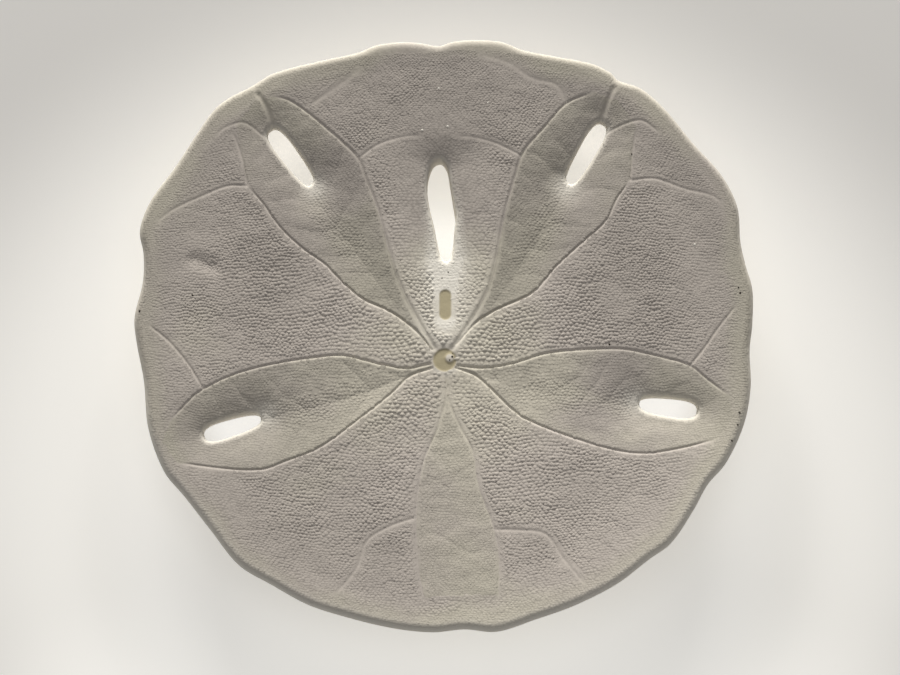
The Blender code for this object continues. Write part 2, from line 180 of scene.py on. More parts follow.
along_table = floor_place.node("ShaderNodeSeparateXYZ", None, {0: floor_place}, 1)
glow = outside_oval(*AROUND_OVAL).mixed(GLOW_AROUND, GLOW_FAR)
glow = outside_oval(*SHADOW_OVAL).mixed(GLOW_SHADOW, glow)
glow = outside_oval(*FRONT_OVAL).mixed(GLOW_FRONT, glow)
under = along_table.ramp(*FRONT_TO_MIDDLE).mixed(GLOW_FRONT_KEYHOLES, GLOW_MIDDLE)
under = along_table.ramp(*MIDDLE_TO_BACK).mixed(under, GLOW_BACK_KEYHOLES)
glow = outside_oval(*UNDER_OVAL).mixed(under, glow)
feed(pale_shader, "Emission Color", glow)
pale_shader.inputs["Emission Strength"].default_value = 1.0
pale_shader.inputs["Base Color"].default_value = (0.80, 0.79, 0.765, 1.0)
pale_shader.inputs["Roughness"].default_value = 0.7
floor_mesh.materials.append(pale)

area_lamp("raking_lamp", place=(-0.10, 1.93, 0.52), size=(1.3, 0.35), watts=62.0, colour=(1.0, 0.975, 0.93))
area_lamp("soft_box", place=(-0.03, 0.05, 0.55), size=(0.5, 0.5), watts=0.62, colour=(1.0, 0.975, 0.94))
world = bpy.data.worlds.new("studio")
world.use_nodes = True
world.node_tree.nodes["Background"].inputs["Color"].default_value = (0.97, 0.965, 1.0, 1.0)
world.node_tree.nodes["Background"].inputs["Strength"].default_value = 0.13
bpy.context.scene.world = world

# The test
# A sand dollar's test is one rigid, chalky shell of fused plates, a thin disc with a scalloped edge. Each
# face is a sheet of fine triangles over the same outline, lifted by what shapes it. The two are joined at
# the margin and through the keyholes. Plan dimensions here are millimetres.
HEIGHT = 11.80
RIM_THICKNESS = 2.8
RIM_ROUND, RIM_DROP = 1.5, 1.3  # reach and fall of the rounded edge
DISH_DEPTH, DISH_RADIUS = 1.4, 54.0
REST_CENTRE, REST_RADIUS = (0.0, -3.0), 11.0
DOME_ROUNDING, DOME_FLANK = 1.6, 1.7
LIP_ROUND, LIP_DROP = 1.0, 0.8
MARGIN = [
    (-1.1, 52.2), (1.7, 53.0), (6.1, 53.3), (10.6, 52.9), (14.4, 51.4), (20.1, 50.2), (27.0, 48.8),
    (30.6, 47.0), (31.7, 45.7), (35.9, 44.1), (40.1, 40.4), (45.3, 33.8), (50.3, 27.9), (53.0, 22.1),
    (53.4, 15.6), (54.2, 11.4), (55.3, 7.0), (55.1, 0.6), (54.5, -3.9), (54.5, -10.6), (53.1, -17.2),
    (49.8, -23.9), (46.4, -27.8), (43.9, -32.1), (39.8, -37.9), (35.9, -40.7), (30.1, -45.0),
    (22.6, -48.7), (16.0, -51.0), (9.2, -53.1), (3.6, -52.7), (-2.0, -53.2), (-8.9, -52.5),
    (-16.7, -50.7), (-23.7, -48.5), (-29.9, -45.2), (-35.9, -41.7), (-40.9, -35.7), (-45.6, -29.9),
    (-49.4, -25.4), (-52.4, -17.7), (-53.4, -9.4), (-54.9, -2.5), (-55.4, 1.9), (-54.1, 8.3),
    (-54.1, 13.3), (-54.9, 17.8), (-53.1, 23.2), (-48.9, 29.3), (-44.8, 36.0), (-41.9, 40.2),
    (-39.2, 42.4), (-35.1, 44.6), (-31.2, 47.0), (-22.8, 49.3), (-15.8, 50.9), (-12.5, 52.3),
    (-8.1, 52.9), (-4.2, 52.7),
]
MARGIN_STRETCH = (1.0, 1.009)
LONG_KEYHOLE = [
    (-0.6, 31.5), (0.5, 30.2), (1.0, 27.7), (1.8, 22.9), (2.1, 20.6), (1.8, 17.9), (1.6, 15.3), (1.2, 13.4),
    (0.4, 12.6), (-0.5, 13.3), (-1.2, 15.8), (-1.8, 18.9), (-2.7, 22.7), (-3.1, 25.9), (-2.9, 28.6),
    (-2.0, 30.9),
]
# Each paired keyhole: its outer end, its inner end, its width, and how much wider it grows outwards.
PAIRED_KEYHOLES = [
    ((-31.7, 36.9), (-24.2, 26.9), 3.3, 0.12),
    ((29.0, 38.1), (22.7, 27.1), 3.2, 0.12),
    ((-42.6, -19.3), (-32.7, -15.9), 3.2, 0.10),
    ((45.0, -14.8), (34.8, -13.3), 3.4, 0.08),
]
KEYHOLE_SQUARENESS = 2.9
# Each hollow: its line, its depth along the line, and its reach to both sides.
HOLLOWS = [
    ([(0.3, -1.0), (0.0, 13.0), (-0.5, 29.0)], (0.0, 1.2, 0.8), 4.6),
    ([(-5.5, 31.8), (5.0, 31.8)], (0.18, 0.18), 3.8),
    ([(-31.0, 35.6), (-24.6, 27.0)], (0.55, 0.85), 4.3),
    ([(28.4, 37.2), (23.0, 28.2)], (0.55, 0.85), 4.3),
    ([(-42.0, -19.5), (-32.8, -16.7)], (0.75, 0.85), 4.3),
    ([(44.4, -15.4), (34.6, -13.8)], (0.75, 0.85), 4.3),
    ([(-44.8, 12.4), (-41.6, 11.0)], (0.27, 0.27), 1.4),
]
MOUTH_CENTRE, MOUTH_RADIUS, MOUTH_DEPTH = (0.1, -5.7), 2.0, 0.11
LUMP_CENTRE, LUMP_RADIUS, LUMP_HEIGHT = (1.0, -5.35), 0.9, 0.20
VENT_ENDS, VENT_RADIUS, VENT_DEPTH = ((0.2, 6.2), (0.2, 2.7)), 1.0, 0.12
PIT_ROUND, PIT_SLOPE = 0.15, 0.15
BACK_LEFT_INNER = [
    (-1.7, -3.6), (-4.2, 0.6), (-8.0, 8.0), (-10.6, 16.5), (-12.2, 22.4), (-14.0, 27.1), (-15.6, 31.3),
    (-18.1, 34.0), (-22.8, 38.1), (-28.1, 42.0), (-31.4, 42.7),
]
BACK_LEFT_OUTER = [
    (-2.2, -3.8), (-5.3, -0.1), (-10.0, 3.3), (-14.4, 5.3), (-18.1, 8.3), (-21.4, 11.7), (-25.6, 14.7),
    (-29.5, 18.4), (-32.6, 22.7), (-35.6, 26.1),
]
BACK_RIGHT_INNER = [
    (1.4, -3.6), (3.9, 0.0), (7.8, 6.9), (9.4, 12.5), (10.8, 20.4), (12.9, 28.2), (14.3, 32.4),
    (18.3, 37.2), (22.3, 41.6), (27.3, 43.6),
]
BACK_RIGHT_OUTER = [
    (2.2, -2.8), (5.8, 1.2), (9.7, 3.6), (15.8, 6.5), (20.1, 11.3), (25.3, 16.1), (29.1, 19.6),
    (31.4, 24.1), (33.7, 27.1),
]
FRONT_LEFT_UPPER = [
    (-2.5, -6.4), (-6.7, -7.1), (-11.4, -6.4), (-17.8, -4.9), (-24.2, -5.4), (-32.0, -6.8), (-38.1, -8.7),
    (-43.7, -11.7), (-46.2, -14.2), (-48.4, -16.9),
]
FRONT_LEFT_LOWER = [
    (-2.2, -7.1), (-6.1, -8.6), (-9.4, -11.7), (-15.6, -16.7), (-22.0, -21.4), (-28.1, -23.9),
    (-31.9, -25.3), (-37.6, -25.3), (-43.7, -24.6), (-47.0, -24.2),
]
FRONT_RIGHT_UPPER = [
    (2.5, -6.7), (6.7, -7.1), (11.9, -6.4), (18.1, -4.5), (25.3, -3.8), (32.0, -3.8), (38.1, -5.1),
    (43.7, -6.8), (46.4, -9.0), (50.6, -12.5),
]
FRONT_RIGHT_LOWER = [
    (2.2, -7.1), (5.8, -8.6), (11.9, -14.4), (14.7, -16.4), (21.7, -19.3), (29.5, -21.7), (35.3, -22.5),
    (42.6, -21.4), (48.4, -19.9),
]
FRONT_LEFT = [
    (0.3, -8.4), (0.4, -12.0), (-1.1, -17.8), (-3.5, -23.5), (-4.6, -29.3), (-4.9, -33.8), (-4.8, -38.0),
    (-4.3, -43.8), (-3.3, -47.7),
]
FRONT_RIGHT = [
    (0.4, -12.0), (2.2, -16.5), (5.0, -22.1), (6.1, -28.5), (8.3, -34.3), (9.6, -40.4), (9.4, -47.1),
]
# Each groove: its route, depth at the mouth end and at the outer end, and half width at both ends.
GROOVES = [
    (BACK_LEFT_INNER, (0.24, 0.16), (0.8, 0.36)),
    (BACK_LEFT_OUTER, (0.26, 0.18), (0.42, 0.36)),
    (BACK_RIGHT_INNER, (0.24, 0.16), (0.8, 0.36)),
    (BACK_RIGHT_OUTER, (0.26, 0.18), (0.42, 0.36)),
    (FRONT_LEFT_UPPER, (0.26, 0.14), (0.42, 0.36)),
    (FRONT_LEFT_LOWER, (0.24, 0.14), (0.40, 0.36)),
    (FRONT_RIGHT_UPPER, (0.26, 0.14), (0.42, 0.36)),
    (FRONT_RIGHT_LOWER, (0.24, 0.14), (0.40, 0.36)),
    (FRONT_LEFT, (0.11, 0.06), (0.45, 0.45)),
    (FRONT_RIGHT, (0.11, 0.06), (0.45, 0.45)),
    ([(-15.6, 31.3), (-12.2, 33.8), (-7.8, 35.3), (-4.0, 35.7)], (0.09, 0.03), (0.40, 0.50)),
    ([(14.0, 31.8), (10.0, 33.9), (5.8, 35.2), (2.2, 35.6)], (0.09, 0.03), (0.40, 0.50)),
    ([(-35.6, 26.1), (-39.2, 26.0), (-43.7, 24.1), (-48.7, 21.6), (-51.7, 19.3)], (0.10, 0.05), (0.42, 0.45)),
    ([(-35.6, 26.1), (-36.6, 31.0), (-38.1, 35.6)], (0.15, 0.08), (0.40, 0.40)),
    ([(33.7, 27.1), (38.1, 27.4), (43.7, 25.4), (48.4, 24.1), (50.0, 22.7)], (0.10, 0.05), (0.42, 0.45)),
    ([(33.7, 27.1), (34.1, 31.8), (34.8, 36.1)], (0.15, 0.08), (0.40, 0.40)),
    ([(-42.8, -10.9), (-45.3, -6.9), (-48.7, -2.8), (-52.5, 0.4)], (0.13, 0.10), (0.42, 0.42)),
    ([(43.8, -6.8), (46.4, -3.6), (48.7, -0.3), (52.0, 3.8)], (0.13, 0.10), (0.42, 0.42)),
    (
        [(-4.9, -33.8), (-9.4, -35.3), (-13.5, -37.9), (-15.3, -42.7), (-18.9, -47.1)],
        (0.08, 0.05),
        (0.45, 0.45),
    ),
    ([(8.9, -35.9), (13.3, -36.0), (17.8, -36.7), (20.9, -41.0), (24.5, -45.4)], (0.08, 0.05), (0.45, 0.45)),
    ([(-32.8, 35.4), (-36.4, 37.8), (-39.8, 36.8), (-41.2, 35.4)], (0.08, 0.05), (0.45, 0.45)),
    ([(29.2, 35.9), (32.5, 37.5), (35.9, 38.2), (38.9, 36.0)], (0.10, 0.07), (0.45, 0.45)),
    ([(-31.2, 37.0), (-32.2, 40.4), (-34.2, 43.6)], (0.20, 0.20), (0.80, 0.80)),
    ([(28.6, 38.4), (29.6, 41.4), (31.2, 45.0)], (0.20, 0.20), (0.80, 0.80)),
    ([(22.3, 41.6), (20.6, 44.9), (16.1, 46.3), (11.4, 49.3), (6.7, 50.7)], (0.06, 0.03), (0.60, 0.70)),
    ([(-23.7, 41.8), (-20.0, 44.4), (-15.5, 48.0)], (0.055, 0.02), (0.65, 0.75)),
]
# The fields' V starts and fades out between these distances from the middle.
FIELD_START, FIELD_FADE = (6.0, 24.0), (50.0, 33.0)
# Each field: its two grooves, its middle, how it closes at the outer end, and how deep its V is.
FIELDS = [
    (
        BACK_LEFT_INNER,
        BACK_LEFT_OUTER,
        [(-1.5, -4.2), (-12.0, 8.5), (-17.0, 15.5), (-24.0, 25.0), (-32.0, 41.0)],
        [(-34.6, 41.6), (-37.6, 37.5), (-36.6, 31.0)],
        0.56,
    ),
    (
        BACK_RIGHT_INNER,
        BACK_RIGHT_OUTER,
        [(1.5, -4.0), (10.5, 6.5), (16.0, 15.0), (23.0, 28.0), (29.5, 43.0)],
        [(31.6, 42.0), (34.7, 37.5), (34.1, 31.8)],
        0.56,
    ),
    (
        FRONT_LEFT_UPPER,
        FRONT_LEFT_LOWER,
        [(-2.4, -6.7), (-14.0, -11.5), (-32.0, -16.2), (-51.0, -20.0)],
        [(-49.5, -20.5)],
        0.60,
    ),
    (
        FRONT_RIGHT_UPPER,
        FRONT_RIGHT_LOWER,
        [(2.4, -6.9), (14.0, -11.0), (34.0, -14.0), (52.5, -16.0)],
        [(51.0, -16.5)],
        0.30,
    ),
]
RIDGE_HEIGHT, RIDGE_REACH, RIDGE_KNOBS = 0.03, 1.4, 5.0
PLATE_LENGTH, PLATE_LEAN, PLATE_JOINT = 6.0, 0.45, 0.055
PLATE_UNEVEN = (0.7, 8.0, 3.3)
# Unevenness of the whole face and of the fields: rise, size and seed of each set of bumps.
UNEVEN = [(0.11, 9.0, 1.7), (0.05, 3.2, 5.1), (0.022, 1.4, 2.9)]
FIELD_UNEVEN, FIELD_STRETCH = [(0.05, 3.6, 7.7), (0.025, 1.5, 6.6)], (0.6, 1.0)
SUTURE_DEPTH, SUTURE_REACH = 0.035, 0.7
# Joints between plates that show as fine lines.
SUTURES = [
    [(-4.0, -26.1), (-2.2, -26.8), (-0.6, -27.9), (0.8, -28.8), (1.9, -26.8), (3.1, -25.7), (5.0, -24.6)],
    [(-3.6, -36.0), (-1.9, -36.6), (0.8, -37.9), (5.0, -40.4), (7.8, -38.8)],
    [(-11.6, 20.5), (-7.8, 21.3)],
    [(10.8, 21.1), (5.0, 21.1)],
]
# Each mauve patch of the plates, cooler in tone and, where it darkens, partly painted shade: its middle, and
# its reach along X and Y.
MAUVE_PATCHES = [
    ((-29.5, 9.5), (8.0, 12.0)), ((32.0, 7.0), (11.0, 10.0)), ((-2.0, 43.0), (15.0, 5.0)),
    ((-10.0, -40.0), (4.5, 4.0)), ((15.3, -39.5), (5.5, 4.0)), ((1.0, 24.0), (13.0, 9.5)),
    ((30.0, -9.0), (5.5, 5.0)), ((24.0, -27.0), (8.0, 7.0)), ((-18.0, 27.0), (4.5, 6.0)),
    ((25.0, -16.0), (7.0, 3.5)),
]
# Each petal of the domed side: where it points to, and its length.
PETALS = [
    ((-24.4, 26.6), 32.0), ((22.8, 27.9), 32.0), ((-32.6, -16.6), 29.0), ((34.5, -13.8), 29.0),
    ((0.4, -40.0), 29.0),
]
PETAL_START, PETAL_HALF_WIDTH = 3.6, 4.6
PETAL_DEPTH, PETAL_REACH = 0.36, 1.35
PORE_PAIRS = 34  # slots along each side of a petal
SIEVE_RADIUS, SIEVE_LOBES, SIEVE_DEPTH = 1.7, 0.3, 0.10
EGG_PORES = [(2.6, -2.1), (-2.6, -2.3), (-1.5, -5.3), (1.6, -5.2)]
EGG_PORE_RADIUS, EGG_PORE_DEPTH = 0.32, 0.35
DOME_LIFT = 0.08  # room for the knobs that the dome rests on
DOME_UNEVEN = (0.08, 8.0, 9.3)
UPPER_SPACING, LOWER_SPACING, FINE_SPACING = 0.5, 0.76, 0.22
EDGE_SPACING = 0.7
EDGE_RINGS, LIP_RINGS = (0.05, 0.18, 0.4, 0.7, 1.0), (0.08, 0.3, 0.6, 1.0)  # shares of the rounded edges
MOUTH_FILL, SIEVE_FILL, VENT_BOX = 2.6, 3.4, ((-1.3, 1.0), (1.7, 7.6))


def curve_through(points, spacing, closed=False):
    """Evenly spaced points on a smooth curve through given ones."""
    points = np.array(points, float)
    if closed:
        points = np.vstack([points[-1:], points, points[:2]])
    else:
        points = np.vstack([2 * points[0] - points[1], points, 2 * points[-1] - points[-2]])
    chord = np.concatenate([[0.0], np.cumsum(np.linalg.norm(np.diff(points, axis=0), axis=1))])
    slope = (points[2:] - points[:-2]) / (chord[2:] - chord[:-2])[:, None]
    t = np.linspace(0.0, 1.0, 16, endpoint=False)[:, None]
    fine = []
    for i in range(1, len(points) - 2):
        length = chord[i + 1] - chord[i]
        fine.append(
            (2 * t**3 - 3 * t**2 + 1) * points[i]
            + (t**3 - 2 * t**2 + t) * length * slope[i - 1]
            + (3 * t**2 - 2 * t**3) * points[i + 1]
            + (t**3 - t**2) * length * slope[i]
        )
    fine.append(points[-2][None, :])
    fine = np.vstack(fine)
    along = np.concatenate([[0.0], np.cumsum(np.linalg.norm(np.diff(fine, axis=0), axis=1))])
    count = max(2, round(along[-1] / spacing))
    stations = np.linspace(0.0, along[-1], count + 1)
    if closed:
        stations = stations[:-1]
    return np.column_stack([np.interp(stations, along, fine[:, axis]) for axis in (0, 1)])


def nearest(points, line, closed=False):
    """Each point's distance from a line of straight runs, and its nearest place along it, 0 to 1."""
    line = np.array(line, float)
    ends = np.roll(line, -1, axis=0) if closed else line[1:]
    starts = line if closed else line[:-1]
    run = ends - starts
    distance, place = np.empty(len(points)), np.empty(len(points))
    for first in range(0, len(points), 4000):
        part = slice(first, first + 4000)
        offset = points[part, None, :] - starts[None, :, :]
        share = np.clip((offset * run).sum(axis=2) / (run**2).sum(axis=1), 0.0, 1.0)
        gap = np.linalg.norm(offset - share[:, :, None] * run, axis=2)
        best = gap.argmin(axis=1)
        rows = np.arange(len(best))
        distance[part] = gap[rows, best]
        place[part] = (best + share[rows, best]) / len(run)
    return distance, place


def inside(points, loop):
    """Which points a closed loop holds, by counting how often a ray along +X crosses it."""
    loop = np.array(loop, float)
    after = np.roll(loop, -1, axis=0)
    rise = np.where(after[:, 1] == loop[:, 1], 1.0, after[:, 1] - loop[:, 1])
    held = np.empty(len(points), bool)
    for first in range(0, len(points), 8000):
        part = slice(first, first + 8000)
        x, y = points[part, 0:1], points[part, 1:2]
        spans = (loop[:, 1] > y) != (after[:, 1] > y)
        crossing = loop[:, 0] + (y - loop[:, 1]) / rise * (after[:, 0] - loop[:, 0])
        held[part] = (spans & (x < crossing)).sum(axis=1) % 2 == 1
    return held


def offset_loop(loop, distance):
    """A loop moved outwards by a distance, or inwards by a negative one."""
    tangent = np.roll(loop, -1, axis=0) - np.roll(loop, 1, axis=0)
    tangent /= np.linalg.norm(tangent, axis=1)[:, None]
    normal = np.column_stack([tangent[:, 1], -tangent[:, 0]])
    x, y = loop.T
    area = (x * np.roll(y, -1) - y * np.roll(x, -1)).sum()
    return loop + normal * distance * (1 if area > 0 else -1)


def slot_loop(outer, inner, width, flare, spacing=0.5):
    """A rounded slot between two end points."""
    outer, inner = np.array(outer), np.array(inner)
    centre, half = (outer + inner) / 2, (outer - inner) / 2
    side = np.array([-half[1], half[0]]) / np.linalg.norm(half)
    angle = np.linspace(0, 2 * math.pi, 400, endpoint=False)
    along = np.sign(np.cos(angle)) * np.abs(np.cos(angle)) ** (2 / KEYHOLE_SQUARENESS)
    across = np.sign(np.sin(angle)) * np.abs(np.sin(angle)) ** (2 / KEYHOLE_SQUARENESS)
    across *= width / 2 * (1 + flare * along)
    loop = centre + along[:, None] * half + across[:, None] * side
    step = np.linalg.norm(np.roll(loop, -1, axis=0) - loop, axis=1)
    travelled = np.concatenate([[0.0], np.cumsum(step)])
    stations = np.linspace(0.0, travelled[-1], round(travelled[-1] / spacing), endpoint=False)
    loop = np.vstack([loop, loop[:1]])
    return np.column_stack([np.interp(stations, travelled, loop[:, axis]) for axis in (0, 1)])


def rounded_fall(distance, reach, fall):
    """The fall of a quarter-round edge at a distance from it."""
    share = np.clip(1 - distance / reach, 0, 1)
    return fall * (1 - np.sqrt(1 - share**2))


def smooth(value, low, high):
    """0 at low, 1 at high, smooth between."""
    share = np.clip((value - low) / (high - low), 0, 1)
    return share * share * (3 - 2 * share)


def fading(distance, reach):
    """1 at no distance, softly less over a reach."""
    return np.exp(-((distance / reach) ** 2))


def waves(points, size, seed):
    """Gentle natural unevenness, about -1 to 1, with bumps of a given size."""
    return np.array([noise.noise(Vector((x / size, y / size, seed))) for x, y in points])


def petal_side(direction, length, side):
    """One bowed side of a petal, from beside the middle of the dome to the petal's tip."""
    start = np.array(REST_CENTRE)
    axis = np.array(direction) - start
    axis /= np.linalg.norm(axis)
    across = np.array([-axis[1], axis[0]]) * side
    share = np.linspace(0, 1, 40)
    width = PETAL_HALF_WIDTH * np.sin(math.pi * share**0.8) ** 0.75 * (1 - 0.18 * share) + 0.5 * (1 - share)
    reach = PETAL_START + share * (length - PETAL_START)
    return start + reach[:, None] * axis + width[:, None] * across


margin = curve_through(np.array(MARGIN) * MARGIN_STRETCH, EDGE_SPACING, closed=True)
keyholes = [curve_through(LONG_KEYHOLE, 0.5, closed=True)] + [slot_loop(*slot) for slot in PAIRED_KEYHOLES]
grooves = [(curve_through(route, 0.5), depths, widths) for route, depths, widths in GROOVES]
petal_sides = [petal_side(direction, length, side) for direction, length in PETALS for side in (-1, 1)]


def gap_to(points, centre):
    return np.linalg.norm(points - np.array(centre), axis=1)


def margin_distance(points):
    return nearest(points, margin, closed=True)[0]


def keyhole_distance(points):
    """Each point's distance from the edge of each keyhole."""
    return np.array([nearest(points, keyhole, closed=True)[0] for keyhole in keyholes])


def groove_nearness(points):
    """Depth cut by the nearest groove, and how far outside its lips a point is."""
    cut, clear = np.zeros(len(points)), np.full(len(points), 99.0)
    for route, depths, widths in grooves:
        low, high = route.min(axis=0) - 4.0, route.max(axis=0) + 4.0
        near = np.flatnonzero(((points > low) & (points < high)).all(axis=1))
        distance, place = nearest(points[near], route)
        width = widths[0] + (widths[1] - widths[0]) * place
        depth = depths[0] + (depths[1] - depths[0]) * place
        depth = depth * smooth(place, 1.0, 0.93)
        share = np.clip(1 - distance / width, 0, 1)
        cut[near] = np.maximum(cut[near], depth * smooth(share, 0, 1))
        clear[near] = np.minimum(clear[near], distance - width)
    return cut, clear


def field_masks(points):
    """1 inside the smooth food-gathering fields, and how deep in their low V a point is."""
    mask, dip = np.zeros(len(points)), np.zeros(len(points))
    radius = np.linalg.norm(points, axis=1)
    fade = smooth(radius, *FIELD_FADE) * smooth(radius, *FIELD_START)
    for one_side, other_side, middle, closing, depth in FIELDS:
        one_side, other_side = curve_through(one_side, 1.0), curve_through(other_side, 1.0)
        held = inside(points, np.vstack([one_side, closing, other_side[::-1]]))
        found = np.flatnonzero(held)
        to_groove = np.minimum(nearest(points[found], one_side)[0], nearest(points[found], other_side)[0])
        to_middle = nearest(points[found], curve_through(middle, 1.0))[0]
        share = to_groove / np.maximum(to_groove + to_middle, 1e-6)
        dip[found] = fade[found] * depth * share
        mask[found] = 1
    front = np.vstack([curve_through(FRONT_LEFT, 1.0), curve_through(FRONT_RIGHT, 1.0)[::-1]])
    mask[inside(points, front)] = 1
    return mask, dip


def plate_joints(points, middle):
    """1 in the joints between a field's plates, which lean outwards on both sides of its middle line."""
    line = curve_through(middle, 1.0)
    distance, place = nearest(points, line)
    along = place * np.linalg.norm(np.diff(line, axis=0), axis=1).sum() - PLATE_LEAN * distance
    shift, size, seed = PLATE_UNEVEN
    wave = np.abs(np.sin(math.pi * (along / PLATE_LENGTH + shift * waves(points, size, seed))))
    return (1 - wave) ** 2


def mouth_side_height(points):
    radius = np.linalg.norm(points, axis=1)
    height = HEIGHT - DISH_DEPTH * np.clip(1 - (radius / DISH_RADIUS) ** 2, 0, 1)
    mask, dip = field_masks(points)
    height -= dip
    for line, depths, reach in HOLLOWS:
        distance, place = nearest(points, line)
        depth = np.interp(place, np.linspace(0, 1, len(depths)), depths)
        height -= depth * fading(distance, reach)
    for _, _, middle, _, _ in FIELDS:
        held = np.flatnonzero(mask > 0)
        distance = nearest(points[held], curve_through(middle, 1.0))[0]
        height[held] += RIDGE_HEIGHT * fading(distance, RIDGE_REACH) * smooth(radius[held], 46.0, 30.0)
        near = held[distance < 12.0]
        height[near] -= PLATE_JOINT * plate_joints(points[near], middle) * smooth(dip[near], 0.0, 0.1)
    for line in SUTURES:
        distance, place = nearest(points, line)
        height -= SUTURE_DEPTH * smooth(distance, SUTURE_REACH, 0.0) * smooth(np.abs(place - 0.5), 0.5, 0.35)
    cut, clear = groove_nearness(points)
    height -= cut
    calm = smooth(DISH_RADIUS - radius, 0.0, 6.0)
    uneven = sum(rise * waves(points, size, seed) for rise, size, seed in UNEVEN)
    stretched = points * FIELD_STRETCH
    uneven += mask * sum(rise * waves(stretched, size, seed) for rise, size, seed in FIELD_UNEVEN)
    height += calm * (uneven - 0.12)
    mouth = MOUTH_RADIUS - gap_to(points, MOUTH_CENTRE)
    vent = VENT_RADIUS - nearest(points, VENT_ENDS)[0]
    height -= MOUTH_DEPTH * smooth(mouth, -PIT_ROUND, PIT_SLOPE)
    height -= VENT_DEPTH * smooth(vent, -PIT_ROUND, PIT_SLOPE)
    lump = 1 - (gap_to(points, LUMP_CENTRE) / LUMP_RADIUS) ** 2
    height += LUMP_HEIGHT * np.sqrt(np.clip(lump, 0, 1)) * (mouth > 0)
    height -= rounded_fall(margin_distance(points), RIM_ROUND, RIM_DROP)
    height -= rounded_fall(keyhole_distance(points).min(axis=0), LIP_ROUND, LIP_DROP)
    return height


def pore_rows(points):
    """1 in the slots that join the paired pores along both sides of each petal, a half between the slots."""
    cut = np.zeros(len(points))
    for side in petal_sides:
        distance, place = nearest(points, side)
        slots = 0.68 + 0.32 * np.cos(2 * math.pi * place * PORE_PAIRS)
        cut = np.maximum(cut, smooth(distance, PETAL_REACH, 0.45) * slots)
    return cut


def sieve_plate(points):
    """1 on the star-shaped sieve plate at the middle of the dome."""
    offset = points - np.array(REST_CENTRE)
    lobes = np.cos(5 * np.arctan2(offset[:, 0], offset[:, 1]))
    gap = gap_to(points, REST_CENTRE)
    return smooth(gap, SIEVE_RADIUS + 0.2 + SIEVE_LOBES * lobes, SIEVE_RADIUS - 0.2)


def egg_pores(points):
    """1 in the four round pores beside the sieve plate."""
    gap = np.min([gap_to(points, pore) for pore in EGG_PORES], axis=0)
    return smooth(gap, EGG_PORE_RADIUS + 0.15, EGG_PORE_RADIUS - 0.15)


def domed_side_height(points):
    centre = np.array(REST_CENTRE)
    offset = points - centre
    around = margin - centre
    bearing = np.arctan2(around[:, 1], around[:, 0])
    order = np.argsort(bearing)
    reach = np.interp(
        np.arctan2(offset[:, 1], offset[:, 0]),
        bearing[order],
        np.linalg.norm(around, axis=1)[order],
        period=2 * math.pi,
    )
    share = np.clip((np.linalg.norm(offset, axis=1) - REST_RADIUS) / (reach - REST_RADIUS), 0, 1)
    dome = (1 - share**DOME_ROUNDING) ** DOME_FLANK
    height = DOME_LIFT * (1 - share) + (HEIGHT - RIM_THICKNESS) * (1 - dome)
    height += PETAL_DEPTH * pore_rows(points)
    height += SIEVE_DEPTH * sieve_plate(points) + EGG_PORE_DEPTH * egg_pores(points)
    rise, size, seed = DOME_UNEVEN
    height += smooth(share, 0.0, 0.1) * (1 - share) * (rise * (waves(points, size, seed) + 1))
    height += rounded_fall(margin_distance(points), RIM_ROUND, RIM_DROP)
    height += rounded_fall(keyhole_distance(points).min(axis=0), LIP_ROUND, LIP_DROP)
    return height


def grid(spacing, low, high):
    """Points of a grid of equal triangles."""
    row = spacing * math.sqrt(0.75)
    x, y = np.meshgrid(np.arange(low[0], high[0], spacing), np.arange(low[1], high[1], row))
    x[1::2] += spacing / 2
    return np.column_stack([x.ravel(), y.ravel()])


def beside(route, distance):
    """A line that runs beside another one."""
    tangent = np.gradient(route, axis=0)
    tangent /= np.linalg.norm(tangent, axis=1)[:, None]
    normal = np.column_stack([tangent[:, 1], -tangent[:, 0]])
    return route + normal * distance


def thinned(points, clearance):
    """The points less those that stand closer than a clearance to an earlier one."""
    cells, kept = {}, []
    for index, (x, y) in enumerate((points / clearance).tolist()):
        column, row = math.floor(x), math.floor(y)
        near = [cells.get((column + i, row + j), ()) for i in (-1, 0, 1) for j in (-1, 0, 1)]
        if all((x - a) ** 2 + (y - b) ** 2 >= 1 for cell in near for a, b in cell):
            cells.setdefault((column, row), []).append((x, y))
            kept.append(index)
    return points[kept]


def on_the_test(points, *notes):
    """The points on the test, not past its margin or over a keyhole, each with what is noted of it."""
    held = inside(points, margin)
    for keyhole in keyholes:
        held &= ~inside(points, keyhole)
    return np.column_stack([points, *notes])[held]


def clear_of(points, others, clearance):
    """The points that stand at least a clearance away from some others."""
    tree = kdtree.KDTree(len(others))
    for index, (x, y) in enumerate(others):
        tree.insert((x, y, 0.0), index)
    tree.balance()
    return points[[tree.find((x, y, 0.0))[2] >= clearance for x, y in points]]


